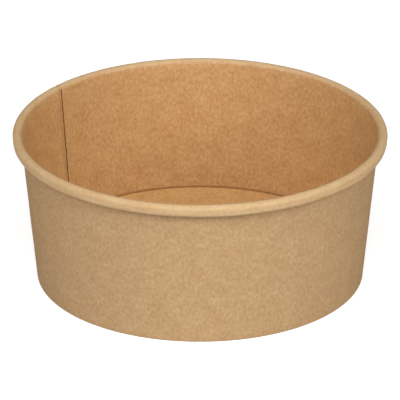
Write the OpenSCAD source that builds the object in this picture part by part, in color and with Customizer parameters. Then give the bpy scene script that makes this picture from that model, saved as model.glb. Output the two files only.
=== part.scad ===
// Round salad bowl of kraft board, for takeaway food.
// It is two pieces of board. The side wall is wound into a cone, lapped, rolled at the rim and hemmed
// at the foot. The base disc has a turned-down skirt, which is sealed between the wall and the hem.
// The origin is the centre of the foot, on the table. +Z is up, and the bowl is seen from -Y.

/* [Bowl] */
// Outside diameter over the rolled rim
rim_d = 150; // [130:1:190]
// Outside diameter of the wall at the foot
base_d = 131.8; // [112:0.2:140]
// Height from the table to the top of the rim
bowl_h = 62.5; // [40:0.5:90]

/* [Board] */
// Thickness of the side wall's board
wall_t = 0.42; // [0.3:0.01:0.55]
// Thickness of the base disc's board
base_t = 0.42; // [0.3:0.02:0.56]

/* [Rolled rim] */
// Width of the roll, from the inner face of the wall to the outer face of the roll
rim_w = 3.8; // [3.4:0.1:4.6]
// Height of the roll
rim_h = 5; // [4.8:0.1:7]
// Air between the wall and the turn that is tucked in behind it
roll_gap = 0.5; // [0.4:0.02:0.8]
// Length of the board that is tucked up inside the roll
tuck_len = 1.2; // [0.5:0.1:2]

/* [Side seam] */
// Direction of the inner lap's edge, anticlockwise from +X, in degrees
seam_at = 143.6; // [100:0.2:170]
// Width of the lap, along the wall
lap_w = 8; // [5:0.5:12]
// Width of wall over which the sheet steps out to pass over the inner lap
jog_w = 1.5; // [1:0.1:4]
// How far the two laps are pressed into each other by the sealing
lap_press = 0.1; // [0.05:0.01:0.2]
// Width of the crevice beside the inner lap's raw edge
edge_gap = 0.35; // [0.1:0.05:1]

/* [Base] */
// Height of the floor's upper face above the table
floor_lift = 7.6; // [5.5:0.1:12]
// Outer radius of the bend between the floor and its skirt
shoulder_r = 1.6; // [0.6:0.1:2]
// Air between the bottom of the fold and the edge of the skirt
skirt_clear = 0.5; // [0.3:0.1:1.5]
// Air between the floor's lower face and the raw edge of the hem
hem_clear = 0.6; // [0.3:0.1:2]
// Sealing film on each side of the skirt
seal_gap = 0.05; // [0.02:0.01:0.1]
// How much of the fold's foot is pressed flat
foot_press = 0.05; // [0.02:0.01:0.1]

/* [Hidden] */
$fn = 96;
wall_colour = "#c3a077";
base_colour = "#c39159";

// The section is drawn in a frame that leans with the wall: its y runs up the wall, its x outward across it,
// and its origin is the centre of the fold at the foot.
fold_r = wall_t + seal_gap + base_t / 2;
fold_c = [base_d / 2 - fold_r, fold_r - foot_press];

// The crown is the upper bend of the roll. The lean makes the wall's inner face tangent to it and to
// the fold.
crown_r = rim_w / 2;
rise = [rim_d / 2 - crown_r, bowl_h - crown_r] - fold_c;
crown_x = crown_r + fold_r - wall_t;
crown_y = sqrt(rise * rise - crown_x * crown_x);
lean = atan2(rise.x, rise.y) - atan2(crown_x, crown_y);

// The lip is the lower bend of the roll, and turns the board in towards the wall.
lip_r = (rim_w - wall_t - roll_gap) / 2;
lip_x = crown_x + crown_r - lip_r;
lip_y = crown_y - rim_h + crown_r + lip_r;

// Height of the hem's raw edge, measured up the wall.
hem_y = (floor_lift - base_t - hem_clear - fold_c.y) / cos(lean);

// The centre of the bend between the floor and its skirt. The skirt's middle runs through the fold's centre.
shoulder_x = base_t / 2 - shoulder_r;
shoulder_y = (floor_lift - shoulder_r - fold_c.y + shoulder_x * sin(lean)) / cos(lean);
skirt_y = skirt_clear - fold_r + wall_t - shoulder_y;

// The seam's widths as angles, on the wall's mean radius. The outer lap lies at lap_offset from the
// inner one.
mean_r = (rim_d + base_d) / 4;
lap_a = lap_w / mean_r * 180 / PI;
jog_a = jog_w / mean_r * 180 / PI;
edge_a = edge_gap / mean_r * 180 / PI;
lap_offset = wall_t - lap_press;

// Sets a section that is drawn in the leaning frame into the bowl, and cuts it at the table and at the axis.
module leaning() {
    intersection() {
        translate(fold_c) rotate(-lean) children();
        square(rim_d);
    }
}

// A straight stretch of board, t thick, from height y0 to height y1, with its inner face at x.
module straight(x, y0, y1, t) {
    polygon([[x, y0], [x + t, y0], [x + t, y1], [x, y1]]);
}

// A half turn of board about (x, y), t thick and r in outer radius. It is the upper half, or the lower one.
module half_turn(x, y, r, t, upper) {
    translate([x, y]) difference() {
        circle(r);
        circle(r - t);
        translate([-2 * r, upper ? -4 * r : 0]) square(4 * r);
    }
}

// The wall and the roll at its rim. The wall's inner face goes over the crown to the outside of the
// roll, so the layer at offset o lies outside the first one on the wall and inside it in the roll, and
// its tuck is longer.
module wall_and_roll(o) {
    straight(fold_r - wall_t + o, 0, crown_y, wall_t);
    half_turn(crown_x, crown_y, crown_r - o, wall_t, true);
    straight(crown_x + crown_r - wall_t - o, lip_y, crown_y, wall_t);
    half_turn(lip_x, lip_y, lip_r - o, wall_t, false);
    straight(lip_x - lip_r + o, lip_y, lip_y + tuck_len + o, wall_t);
}

// The hem inside the foot, and the fold that joins it to the wall. The layer at offset o goes the longer
// way round, so its hem is shorter, and the foot is pressed flat through it.
module hem_and_fold(o) {
    straight(-fold_r - o, 0, hem_y - o, wall_t);
    half_turn(0, 0, fold_r + o, wall_t, false);
}

// Winds a section round the bowl's axis, from angle a0 to angle a1.
module wind(a0, a1) {
    rotate([0, 0, a0]) rotate_extrude(angle = a1 - a0) leaning() children();
}

// One sheet of board, wound once round. Its outer lap steps out over the raw edge of the inner one.
module side_wall() {
    color(wall_colour) {
        wind(seam_at + edge_a, seam_at + 360) {
            wall_and_roll(0);
            hem_and_fold(0);
        }
        wind(seam_at - lap_a, seam_at + edge_a + jog_a) {
            wall_and_roll(lap_offset);
            hem_and_fold(lap_offset);
        }
    }
}

// All that lies under one face of the base board, about the centre of the shoulder. The face is r away
// from that centre, and level on the floor. The skirt's part starts at y0. To leave nothing between the
// two parts where they lean apart, the floor's part starts past below the centre, and the skirt's a
// quarter of that beside it.
module under_base(r, y0, past) {
    circle(r);
    translate([-past / 4, y0]) square([r + past / 4, -y0]);
    rotate(lean) translate([-base_d, -past]) square([base_d, r + past]);
}

// The floor, its rounded shoulder, and the skirt that follows the wall down into the fold.
module base_section() {
    translate([shoulder_x, shoulder_y]) difference() {
        under_base(shoulder_r, skirt_y, 0);
        under_base(shoulder_r - base_t, 2 * skirt_y, shoulder_r);
    }
}

module base_disc() {
    color(base_colour) rotate_extrude() leaning() base_section();
}

side_wall();
base_disc();
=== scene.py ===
import math

import bpy
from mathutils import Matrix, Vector


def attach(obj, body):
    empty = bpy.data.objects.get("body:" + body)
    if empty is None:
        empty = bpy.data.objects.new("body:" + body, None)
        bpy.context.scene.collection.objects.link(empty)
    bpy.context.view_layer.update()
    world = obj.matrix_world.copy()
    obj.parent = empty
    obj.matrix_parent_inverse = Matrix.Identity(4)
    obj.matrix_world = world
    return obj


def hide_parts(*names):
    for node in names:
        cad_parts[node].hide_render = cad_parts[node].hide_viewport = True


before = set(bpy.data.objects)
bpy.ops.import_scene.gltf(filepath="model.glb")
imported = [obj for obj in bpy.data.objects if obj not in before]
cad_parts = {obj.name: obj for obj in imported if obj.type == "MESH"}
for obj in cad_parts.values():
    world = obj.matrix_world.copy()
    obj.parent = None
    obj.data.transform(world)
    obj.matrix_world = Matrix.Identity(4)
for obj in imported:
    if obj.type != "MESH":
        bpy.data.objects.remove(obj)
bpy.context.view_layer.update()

# The bowl's sizes, in metres.
MM = 0.001
RIM_D = 150 * MM
BASE_D = 131.8 * MM
BOWL_H = 62.5 * MM
BOARD = 0.42 * MM
RIM_W = 3.8 * MM
RIM_H = 5.0 * MM
ROLL_GAP = 0.5 * MM
TUCK = 1.2 * MM
FLOOR_LIFT = 7.6 * MM
SHOULDER_R = 1.6 * MM
SKIRT_CLEAR = 0.5 * MM
HEM_CLEAR = 0.6 * MM
SEAL = 0.05 * MM
FOOT_PRESS = 0.05 * MM

# The side seam: its place, its slant over the wall's height, and the widths along the wall of the lap, of the
# crevice beside the inner lap's raw edge, and of the climb from behind that edge back to the wall's face. The
# roll crushes the two laps.
SEAM_AT = math.radians(143.6)
SEAM_SKEW = math.radians(0.85)
LAP_W = 8 * MM
CREVICE_W = 0.4 * MM
CLIMB_W = 2.0 * MM
LAP_STEP = BOARD + 0.01 * MM
CRUSHED = 0.45

# The section is drawn in a frame that leans with the wall, with y up the wall and x outward across it.
# Its origin is the centre of the fold at the foot.
FOLD_R = BOARD + SEAL + BOARD / 2
FOLD_C = Vector((BASE_D / 2 - FOLD_R, FOLD_R - FOOT_PRESS))
CROWN_R = RIM_W / 2
RISE = Vector((RIM_D / 2 - CROWN_R, BOWL_H - CROWN_R)) - FOLD_C
CROWN_X = CROWN_R + FOLD_R - BOARD
CROWN_Y = math.sqrt(RISE.length_squared - CROWN_X**2)
LEAN = math.atan2(RISE.x, RISE.y) - math.atan2(CROWN_X, CROWN_Y)
LIP_R = (RIM_W - BOARD - ROLL_GAP) / 2
LIP_X = CROWN_X + CROWN_R - LIP_R
LIP_Y = CROWN_Y - RIM_H + CROWN_R + LIP_R
HEM_Y = (FLOOR_LIFT - BOARD - HEM_CLEAR - FOLD_C.y) / math.cos(LEAN)
SHOULDER_X = BOARD / 2 - SHOULDER_R
SHOULDER_Y = (FLOOR_LIFT - SHOULDER_R - FOLD_C.y + SHOULDER_X * math.sin(LEAN)) / math.cos(LEAN)
MEAN_R = (RIM_D + BASE_D) / 4


def place(x, y, way=0.0):
    """A point of the leaning section, set into the bowl in the direction way from its axis."""
    r = FOLD_C.x + x * math.cos(LEAN) + y * math.sin(LEAN)
    z = FOLD_C.y - x * math.sin(LEAN) + y * math.cos(LEAN)
    return Vector((r * math.cos(way), r * math.sin(way), z))


def bend(x, y, r, a0, a1, steps):
    """Points round a bend of the section, from angle a0 to a1 in degrees, both ends included."""
    angles = [math.radians(a0 + (a1 - a0) * i / steps) for i in range(steps + 1)]
    return [(x + r * math.cos(a), y + r * math.sin(a)) for a in angles]


def stretch(x, y0, y1, steps):
    """Points along a straight stretch of the section, both ends left out."""
    return [(x, y0 + (y1 - y0) * i / steps) for i in range(1, steps)]


def let_go():
    """Leaves edit mode, with nothing selected."""
    if bpy.context.mode != "OBJECT":
        bpy.ops.object.mode_set(mode="OBJECT")
    bpy.ops.object.select_all(action="DESELECT")
    bpy.context.view_layer.objects.active = None


def pick(piece):
    """Selects one piece and makes it the active one."""
    let_go()
    piece.select_set(True)
    bpy.context.view_layer.objects.active = piece


def edit(piece, action="SELECT"):
    """Opens a piece in edit mode, with all its points selected, or none."""
    pick(piece)
    bpy.ops.object.mode_set(mode="EDIT")
    bpy.ops.mesh.select_mode(type="VERT")
    bpy.ops.mesh.select_all(action=action)


def board_line(name, points):
    """A line of edges through the section's points, drawn from one corner by extruding it point by point."""
    let_go()
    bpy.ops.mesh.primitive_plane_add(size=MM, location=points[0])
    piece = bpy.context.object
    piece.name = piece.data.name = name
    edit(piece)
    bpy.ops.mesh.merge(type="CENTER")
    for before, after in zip(points, points[1:]):
        bpy.ops.mesh.extrude_region_move(TRANSFORM_OT_translate={"value": after - before})
    pick(piece)
    bpy.ops.object.transform_apply(location=True, rotation=True, scale=True)
    return piece


def wind(angle, steps):
    """Winds what is selected round the bowl's axis, clockwise seen from above."""
    bpy.ops.mesh.spin(steps=steps, angle=angle, center=(0, 0, 0), axis=(0, 0, 1))


def modify(piece, kind, **settings):
    """Adds a modifier and applies it."""
    modifier = piece.modifiers.new(kind.title(), kind)
    for key, value in settings.items():
        setattr(modifier, key, value)
    pick(piece)
    bpy.ops.object.modifier_apply(modifier=modifier.name)


def ease(t):
    """A smooth step from 0 to 1."""
    t = min(max(t, 0.0), 1.0)
    return t * t * (3 - 2 * t)


def weigh(piece, name, weight):
    """A vertex group, from a function that gives each vertex its weight."""
    group = piece.vertex_groups.new(name=name)
    for v in piece.data.vertices:
        group.add([v.index], weight(v), "REPLACE")


def uneven(piece, size, depth, group, seed, axis="NORMAL", middle=0.5):
    """The unevenness of real board: soft waves of the given size and depth, where the group's weight allows."""
    texture = bpy.data.textures.new(group, "CLOUDS")
    texture.noise_scale = size
    texture.noise_depth = 1
    bpy.ops.object.empty_add(location=(seed, 0, 0))
    origin = bpy.context.object
    modify(
        piece, "DISPLACE", texture=texture, texture_coords="OBJECT", texture_coords_object=origin,
        direction=axis, mid_level=middle, strength=depth, vertex_group=group,
    )
    bpy.data.objects.remove(origin)


def face_out(piece, outward):
    """Turns the sheet's faces to the side that outward finds, which is the side that touches the food."""
    edit(piece)
    bpy.ops.mesh.normals_make_consistent(inside=False)
    bpy.ops.object.mode_set(mode="OBJECT")
    if sum(outward(face) for face in piece.data.polygons) < 0:
        edit(piece)
        bpy.ops.mesh.flip_normals()
        bpy.ops.object.mode_set(mode="OBJECT")


def linear(code):
    """A colour written as sRGB hex, as linear values."""
    channels = [int(code[i : i + 2], 16) / 255 for i in (1, 3, 5)]
    return [c / 12.92 if c <= 0.04045 else ((c + 0.055) / 1.055) ** 2.4 for c in channels] + [1.0]


def new_material(name):
    material = bpy.data.materials.new(name)
    material.use_nodes = True
    material.node_tree.nodes.clear()
    return material, material.node_tree


def add(tree, kind, settings=None, **links):
    """Adds a node. Its inputs go by name, or as i0, i1 and so on, each a value or another's output."""
    made = tree.nodes.new(kind)
    for key, value in (settings or {}).items():
        setattr(made, key, value)
    for key, value in links.items():
        socket = made.inputs[int(key[1:])] if key[1:].isdigit() else made.inputs[key.replace("_", " ")]
        if isinstance(value, bpy.types.NodeSocket):
            tree.links.new(value, socket)
        else:
            socket.default_value = value
    return made


def per(size):
    """A noise scale that gives grains of a real size."""
    return 1 / size


# How much the single fibres and the slow clouds count in the board's mottling, beside the pulp's own 1.
FIBRE_SHARE = 0.2
CLOUD_SHARE = 0.35
# How much of the mottling is left where the rim is rolled, and the sheen of the coat there.
CALMED = 0.45
RUBBED_ROUGHNESS = 0.65
RUBBED_GLOSS = 0.12
# Painted shade in the crease round the floor: what is left there of the coat's red, green and blue, and the
# width over which it fades.
CREASE_SHADE = (0.7, 0.6, 0.46, 1.0)
CREASE_SHADE_FADE = 0.25 * MM
UNCHANGED = (1.0, 1.0, 1.0, 1.0)


def kraft(name, dark, pale, roughness, gloss, relief, on_sheet, wear_and_light=None, shade_below=None):
    """Kraft board: long brown wood fibres, unbleached, pressed into a mottled sheet."""
    material, tree = new_material(name)
    if on_sheet:
        where = add(tree, "ShaderNodeUVMap", {"uv_map": "sheet"}).outputs["UV"]
    else:
        where = add(tree, "ShaderNodeTexCoord").outputs["Object"]

    # The mottling of the pulp, a little longer the way the board was made, and slow clouds in it.
    laid = add(tree, "ShaderNodeMapping", Vector=where, Scale=(1.2, 0.85, 1.0))
    mottle = add(
        tree, "ShaderNodeTexNoise", Vector=laid.outputs[0], Scale=per(1.5 * MM), Detail=4.0, Roughness=0.62
    )
    cloud = add(tree, "ShaderNodeTexNoise", Vector=where, Scale=per(7 * MM), Detail=2.0, Roughness=0.5)

    # Single fibres, which lie in all directions.
    fibres = 0.0
    for turn in (10, 70, 130):
        turned = add(tree, "ShaderNodeMapping", Vector=where, Rotation=(0, 0, math.radians(turn)))
        thin = add(
            tree, "ShaderNodeMapping", Vector=turned.outputs[0],
            Scale=(per(1.6 * MM), per(0.22 * MM), per(0.5 * MM)),
        )
        strands = add(tree, "ShaderNodeTexNoise", Vector=thin.outputs[0], Scale=1.0, Detail=1.0)
        fibres = add(
            tree, "ShaderNodeMath", {"operation": "MULTIPLY_ADD"}, i0=strands.outputs["Fac"],
            i1=FIBRE_SHARE, i2=fibres,
        ).outputs[0]

    felt = add(tree, "ShaderNodeMath", {"operation": "ADD"}, i0=mottle.outputs["Fac"], i1=fibres)
    uneven_felt = add(
        tree, "ShaderNodeMath", {"operation": "MULTIPLY_ADD"}, i0=cloud.outputs["Fac"],
        i1=CLOUD_SHARE, i2=felt.outputs[0],
    )
    centred = add(
        tree, "ShaderNodeMath", {"operation": "SUBTRACT"}, i0=uneven_felt.outputs[0],
        i1=0.5 * (1 + 3 * FIBRE_SHARE + CLOUD_SHARE),
    )

    # Where the rim is rolled, the mottling is stretched and fainter.
    how_far = add(tree, "ShaderNodeAttribute", {"attribute_name": "worked"})
    calm = add(tree, "ShaderNodeMapRange", Value=how_far.outputs["Fac"], i3=1.0, i4=CALMED)
    mottling = add(
        tree, "ShaderNodeMath", {"operation": "MULTIPLY_ADD"}, i0=centred.outputs[0], i1=calm.outputs[0], i2=0.5
    )
    pulp = add(
        tree, "ShaderNodeMix", {"data_type": "RGBA", "clamp_factor": False}, i0=mottling.outputs[0],
        i6=linear(dark), i7=linear(pale),
    )

    # The pulp is redder in some places and yellower in others.
    hue = add(
        tree, "ShaderNodeTexNoise", {"noise_dimensions": "4D"}, Vector=where, Scale=per(8 * MM), Detail=1.0,
        W=3.0,
    )
    tint = add(
        tree, "ShaderNodeMix", {"data_type": "RGBA"}, i0=hue.outputs["Fac"],
        i6=(1.01, 0.985, 1.03, 1.0), i7=(0.99, 1.015, 0.97, 1.0),
    )
    colour = add(
        tree, "ShaderNodeVectorMath", {"operation": "MULTIPLY"}, i0=pulp.outputs[2], i1=tint.outputs[2]
    )

    # Rolling the rim has stretched and worn its coat, which is duller there. The rolled rim is painted lighter
    # in long patches: partly the worn coat, partly painted light where the roll faces up and painted highlights
    # along its top.
    if wear_and_light:
        along = add(tree, "ShaderNodeMapping", Vector=where, Scale=(0.15, 1.0, 1.0))
        streaks_and_highlights = add(tree, "ShaderNodeTexNoise", Vector=along.outputs[0], Scale=per(1.8 * MM), Detail=2.0)
        worn_and_highlit = add(tree, "ShaderNodeMapRange", Value=streaks_and_highlights.outputs["Fac"], i1=0.3, i2=0.7, i3=0.75, i4=1.25)
        paler_and_lit = add(
            tree, "ShaderNodeMath", {"operation": "MULTIPLY"}, i0=how_far.outputs["Fac"], i1=worn_and_highlit.outputs[0]
        )
        lift_and_light = add(
            tree, "ShaderNodeMix", {"data_type": "RGBA", "clamp_factor": False}, i0=paler_and_lit.outputs[0],
            i6=UNCHANGED, i7=wear_and_light,
        )
        colour = add(
            tree, "ShaderNodeVectorMath", {"operation": "MULTIPLY"}, i0=colour.outputs[0], i1=lift_and_light.outputs[2]
        )
        gloss = add(
            tree, "ShaderNodeMapRange", Value=how_far.outputs["Fac"], i3=gloss, i4=RUBBED_GLOSS
        ).outputs[0]
        roughness = add(
            tree, "ShaderNodeMapRange", Value=how_far.outputs["Fac"], i3=roughness, i4=RUBBED_ROUGHNESS
        ).outputs[0]

    # In the crease round the floor, the coat is painted darker: painted shade where the crease lies in shadow.
    if shade_below:
        sides = add(tree, "ShaderNodeSeparateXYZ", Vector=where)
        height = sides.outputs["Y" if on_sheet else "Z"]
        crease_shade_mask = add(
            tree, "ShaderNodeMapRange", {"interpolation_type": "SMOOTHSTEP"}, Value=height,
            i1=shade_below + CREASE_SHADE_FADE, i2=shade_below - CREASE_SHADE_FADE, i3=0.0, i4=1.0,
        )
        brown = add(
            tree, "ShaderNodeMix", {"data_type": "RGBA"}, i0=crease_shade_mask.outputs[0],
            i6=UNCHANGED, i7=CREASE_SHADE,
        )
        colour = add(
            tree, "ShaderNodeVectorMath", {"operation": "MULTIPLY"}, i0=colour.outputs[0], i1=brown.outputs[2]
        )

    # The felt of fibres stands up a little, which breaks up the light.
    bumps = add(tree, "ShaderNodeBump", Height=felt.outputs[0], Distance=relief, Strength=1.0)
    shader = add(
        tree, "ShaderNodeBsdfPrincipled", Base_Color=colour.outputs[0], Roughness=roughness, IOR=1.5,
        Specular_IOR_Level=gloss, Normal=bumps.outputs[0],
    )
    add(tree, "ShaderNodeOutputMaterial", Surface=shader.outputs["BSDF"])
    return material


# How far up the sheet's path the floor lies.
FLOOR_RUN = HEM_Y + math.pi * (FOLD_R - BOARD) + (FLOOR_LIFT - FOLD_C.y) / math.cos(LEAN)

# How much lighter in red, green and blue the rolled rim is painted: partly its worn coat, partly painted light
# and painted highlights on the roll.
RIM_WEAR_AND_LIGHT = (1.1, 1.31, 1.68, 1.0)
# Inside, the board has a thin clear coat that lets food slide off. It is browner and has a soft sheen.
# Both coats are painted darker below the floor's edge, as painted shade in the crease there.
coated_wall = kraft(
    "coated_kraft_wall", "#9a6027", "#dcb681", 0.45, 0.4, 0.02 * MM, True, RIM_WEAR_AND_LIGHT, FLOOR_RUN + 0.2 * MM
)
coated_base = kraft(
    "coated_kraft_base", "#a56c2e", "#e7c288", 0.45, 0.4, 0.02 * MM, False, None, FLOOR_LIFT - 0.5 * MM
)
# Outside it is bare, lighter and matt. Along its cut edges the layers are painted dark: their own darker fibre,
# and painted shade of the narrow crevices they lie in, such as beside the seam's inner lap.
raw_wall = kraft("raw_kraft_wall", "#9c764a", "#d2b28a", 0.9, 0.1, 0.04 * MM, True)
raw_base = kraft("raw_kraft_base", "#9c764a", "#d2b28a", 0.9, 0.1, 0.04 * MM, False)
# The cut edges carry painted shade in their dark colour, and on the rolled rim they are painted lighter like
# the rim's coat.
shaded_cut_edge = kraft("shaded_cut_edge", "#4c2810", "#6e4424", 0.95, 0.1, 0.05 * MM, False, (3.2, 4.5, 7.0, 1.0))

# The wall's path: down the hem, round the fold, up the wall, over the crown, and in under the lip to the tuck.
# It runs along the face that touches the food, which the roll turns out at the rim.
hem_x = -(FOLD_R - BOARD)
flank_x = CROWN_X + CROWN_R
tuck_x = LIP_X - LIP_R
below_crown = (
    [(hem_x, HEM_Y)]
    + stretch(hem_x, HEM_Y, 0, 4)
    + bend(0, 0, FOLD_R - BOARD, 180, 360, 10)
    + stretch(-hem_x, 0, CROWN_Y, 26)
)
wall_path = (
    below_crown
    + bend(CROWN_X, CROWN_Y, CROWN_R, 180, 0, 18)
    + stretch(flank_x, CROWN_Y, LIP_Y, 2)
    + bend(LIP_X, LIP_Y, LIP_R, 0, -180, 12)
    + [(tuck_x, LIP_Y + TUCK / 2), (tuck_x, LIP_Y + TUCK)]
)
ring = len(wall_path)
run = [0.0]
for (x0, y0), (x1, y1) in zip(wall_path, wall_path[1:]):
    run.append(run[-1] + math.hypot(x1 - x0, y1 - y0))
wall_points = [place(x, y, SEAM_AT + SEAM_SKEW * (0.5 - y / CROWN_Y)) for x, y in wall_path]
wall_sheet = board_line("wall_sheet", wall_points)
order = [min(range(ring), key=lambda i: (wall_points[i] - v.co).length) for v in wall_sheet.data.vertices]

# Once round from the inner lap's raw edge, then out over that edge, and on under it to the lap's end.
ROUND_STEPS, CLIMB_STEPS, LAP_STEPS = 470, 6, 9
climb_a = CLIMB_W / MEAN_R
crevice_a = CREVICE_W / MEAN_R
lap_a = LAP_W / MEAN_R
round_a = 2 * math.pi - climb_a - crevice_a
edit(wall_sheet)
wind(round_a, ROUND_STEPS)
wind(climb_a, CLIMB_STEPS)
wind(crevice_a, 1)
wind(lap_a, LAP_STEPS)
bpy.ops.object.mode_set(mode="OBJECT")


def wound(v):
    """How far round the sheet a vertex is, as an angle from the inner lap's raw edge."""
    i = v.index // ring
    if i <= ROUND_STEPS:
        return round_a * i / ROUND_STEPS
    i -= ROUND_STEPS
    if i <= CLIMB_STEPS:
        return round_a + climb_a * i / CLIMB_STEPS
    i -= CLIMB_STEPS + 1
    return round_a + climb_a + crevice_a + lap_a * i / LAP_STEPS


def up_path(v):
    """A vertex's place along the wall's path, as the number of its point."""
    return order[v.index % ring]


def up_wall(v):
    """How high up the leaning wall a vertex is, from the fold's centre."""
    return wall_path[up_path(v)][1]


def rolled(v):
    """0 on the wall, rising to 1 over the crown's inner side."""
    return ease((up_path(v) - len(below_crown) + 1) / 6)


def beside_lap(v):
    """1 where the sheet is one of the two laps, easing to 0 over the climb beside them."""
    if wound(v) < math.pi:
        return ease((lap_a + climb_a - wound(v)) / climb_a)
    return ease((wound(v) - round_a) / climb_a)


# The outer lap lies one board's thickness behind the inner one. The foot of the lap is lifted by as much,
# because it stands on the table, and in the roll both laps are crushed.
weigh(wall_sheet, "outer_lap", lambda v: ease((wound(v) - round_a) / climb_a) * (1 - (1 - CRUSHED) * rolled(v)))
weigh(wall_sheet, "lifted", lambda v: beside_lap(v) * ease(1 - up_wall(v) / (4 * MM)))
weigh(wall_sheet, "thickness", lambda v: 1 - (1 - CRUSHED) * rolled(v) * beside_lap(v))
weigh(wall_sheet, "roll", rolled)
weigh(wall_sheet, "free_wall", lambda v: ease((up_wall(v) - 10 * MM) / (12 * MM)) * (1 - rolled(v)))

# The sheet laid flat, in metres, and how far the rolling has worked it.
flat = wall_sheet.data.uv_layers.new(name="sheet")
for loop in wall_sheet.data.loops:
    v = wall_sheet.data.vertices[loop.vertex_index]
    flat.data[loop.index].uv = (wound(v) * MEAN_R, run[up_path(v)])
worked = wall_sheet.data.attributes.new("worked", "FLOAT", "POINT")
for v in wall_sheet.data.vertices:
    worked.data[v.index].value = rolled(v)


def towards_axis(face):
    """Above 0 where a face of the wall looks in at the food. The rim and the foot don't count."""
    if not 20 * MM < face.center.z < 50 * MM:
        return 0
    return -(face.normal.x * face.center.x + face.normal.y * face.center.y)


face_out(wall_sheet, towards_axis)
modify(wall_sheet, "DISPLACE", direction="NORMAL", mid_level=0, strength=-LAP_STEP, vertex_group="outer_lap")
modify(wall_sheet, "DISPLACE", direction="Z", mid_level=0, strength=LAP_STEP, vertex_group="lifted")
uneven(wall_sheet, 18 * MM, 0.16 * MM, "free_wall", 0.2)
uneven(wall_sheet, 7 * MM, 0.16 * MM, "roll", 0.1, middle=1.0)
for material in (coated_wall, raw_wall, shaded_cut_edge):
    wall_sheet.data.materials.append(material)
modify(
    wall_sheet, "SOLIDIFY", thickness=BOARD, offset=-1, use_even_offset=True, vertex_group="thickness",
    material_offset=1, material_offset_rim=2,
)

# What would reach below the table is pressed flat on it.
edit(wall_sheet, "DESELECT")
bpy.ops.object.mode_set(mode="OBJECT")
for v in wall_sheet.data.vertices:
    v.select = v.co.z < 0
bpy.ops.object.mode_set(mode="EDIT")
bpy.ops.transform.resize(value=(1, 1, 0), center_override=(0, 0, 0))
bpy.ops.object.mode_set(mode="OBJECT")

# The base disc's path: along the floor from its middle, over the shoulder and down the skirt.
skirt_y = SKIRT_CLEAR - FOLD_R + BOARD
shoulder = bend(SHOULDER_X, SHOULDER_Y, SHOULDER_R, 90 + math.degrees(LEAN), 0, 8)
skirt = stretch(BOARD / 2, SHOULDER_Y, skirt_y, 4) + [(BOARD / 2, skirt_y)]
turned_down = [place(x, y) for x, y in shoulder + skirt]
floor_line = [Vector((turned_down[0].x * i / 26, 0, FLOOR_LIFT)) for i in range(26)]
base_sheet = board_line("base_sheet", floor_line + turned_down)
edit(base_sheet)
wind(2 * math.pi, 240)
bpy.ops.mesh.select_all(action="SELECT")
bpy.ops.mesh.remove_doubles(threshold=0.005 * MM)
bpy.ops.object.mode_set(mode="OBJECT")
floor_edge = turned_down[0].x
on_floor = FLOOR_LIFT - 0.1 * MM


def free_floor(v):
    """1 on the floor, easing to 0 towards the shoulder."""
    if v.co.z < on_floor:
        return 0
    return ease((floor_edge - math.hypot(v.co.x, v.co.y)) / (6 * MM))


face_out(base_sheet, lambda face: face.normal.z if face.center.z > on_floor else 0)
weigh(base_sheet, "floor", free_floor)
uneven(base_sheet, 20 * MM, 0.3 * MM, "floor", 0.3, "Z")
for material in (coated_base, raw_base, shaded_cut_edge):
    base_sheet.data.materials.append(material)
modify(
    base_sheet, "SOLIDIFY", thickness=BOARD, offset=-1, use_even_offset=True, material_offset=1,
    material_offset_rim=2,
)

for sheet in (wall_sheet, base_sheet):
    pick(sheet)
    bpy.ops.object.shade_smooth_by_angle(angle=math.radians(35))

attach(wall_sheet, "root")
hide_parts("side_wall")
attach(base_sheet, "root")
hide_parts("base_disc")

# The table and the white room. Their white is only for the camera and for reflections.
let_go()
bpy.ops.mesh.primitive_plane_add(size=6)
table = bpy.context.object
table.name = table.data.name = "table"


def seen_or_reflected(tree):
    """1 for the rays that show the surroundings: straight, in a gloss, or through something clear."""
    path = add(tree, "ShaderNodeLightPath")
    shown = add(
        tree, "ShaderNodeMath", {"operation": "MAXIMUM"}, i0=path.outputs["Is Camera Ray"],
        i1=path.outputs["Is Glossy Ray"],
    )
    through = add(
        tree, "ShaderNodeMath", {"operation": "MAXIMUM"}, i0=shown.outputs[0],
        i1=path.outputs["Is Transmission Ray"],
    )
    return through.outputs[0]


paper, tree = new_material("white_paper")
matte = add(tree, "ShaderNodeBsdfDiffuse", Color=linear("#c0c0c0"))
glow = add(tree, "ShaderNodeEmission", Color=(1, 1, 1, 1), Strength=0.75)
lit = add(tree, "ShaderNodeAddShader", i0=matte.outputs[0], i1=glow.outputs[0])
mixed = add(tree, "ShaderNodeMixShader", Fac=seen_or_reflected(tree), i1=matte.outputs[0], i2=lit.outputs[0])
add(tree, "ShaderNodeOutputMaterial", Surface=mixed.outputs[0])
table.data.materials.append(paper)

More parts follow.
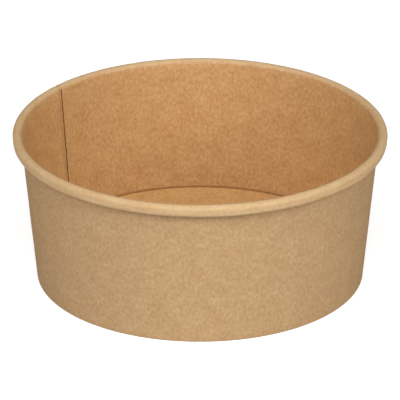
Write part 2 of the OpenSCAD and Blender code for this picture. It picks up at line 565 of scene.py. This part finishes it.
world = bpy.data.worlds.new("white_room")
bpy.context.scene.world = world
world.use_nodes = True
tree = world.node_tree
tree.nodes.clear()
soft = add(tree, "ShaderNodeBackground", Color=(1, 1, 1, 1), Strength=0.07)
white = add(tree, "ShaderNodeBackground", Color=(1, 1, 1, 1), Strength=1.0)
mixed = add(tree, "ShaderNodeMixShader", Fac=seen_or_reflected(tree), i1=soft.outputs[0], i2=white.outputs[0])
add(tree, "ShaderNodeOutputWorld", Surface=mixed.outputs[0])


NEUTRAL = (1, 1, 1)
COOL = (0.98, 1, 1.05)
WARM = (1, 0.97, 0.92)


def soft_light(name, place_at, size, power, tint):
    """A square lamp, in metres and watts, turned to the bowl."""
    bpy.ops.object.light_add(type="AREA", location=place_at)
    lamp = bpy.context.object
    lamp.name = name
    lamp.data.size = size
    lamp.data.energy = power
    lamp.data.color = tint
    lamp.rotation_euler = (Vector((0, 0, 0.03)) - lamp.location).to_track_quat("-Z", "Y").to_euler()


soft_light("high_light", (0, -0.9, 1.6), 0.8, 8.5, NEUTRAL)
soft_light("front_left_light", (-0.5, -1.4, 1.3), 0.7, 8.6, COOL)
soft_light("front_right_light", (0.5, -1.4, 1.3), 0.7, 5.9, COOL)
soft_light("left_light", (-1.3, -0.9, 0.9), 0.9, 9.2, WARM)
soft_light("right_light", (1.3, -0.9, 0.9), 0.9, 13.0, WARM)
soft_light("low_light", (0, -1.7, 0.25), 0.8, 7.4, NEUTRAL)

# The camera: a long lens, 24.5 degrees above the table, in front of the bowl and a little to its right.
CAMERA_UP = math.radians(24.5)
CAMERA_TURN = math.radians(0.75)
CAMERA_DISTANCE = 1.815
bpy.ops.object.camera_add()
camera = bpy.context.object
bpy.context.scene.camera = camera
aim = Vector((0, 0, BOWL_H / 2))
way_back = Vector((math.sin(CAMERA_TURN), -math.cos(CAMERA_TURN), 0)) * math.cos(CAMERA_UP)
way_back.z = math.sin(CAMERA_UP)
camera.location = aim + CAMERA_DISTANCE * way_back
camera.rotation_euler = (aim - camera.location).to_track_quat("-Z", "Y").to_euler()
camera.data.lens = 406
camera.data.clip_end = 20
bpy.context.scene.view_settings.view_transform = "Standard"
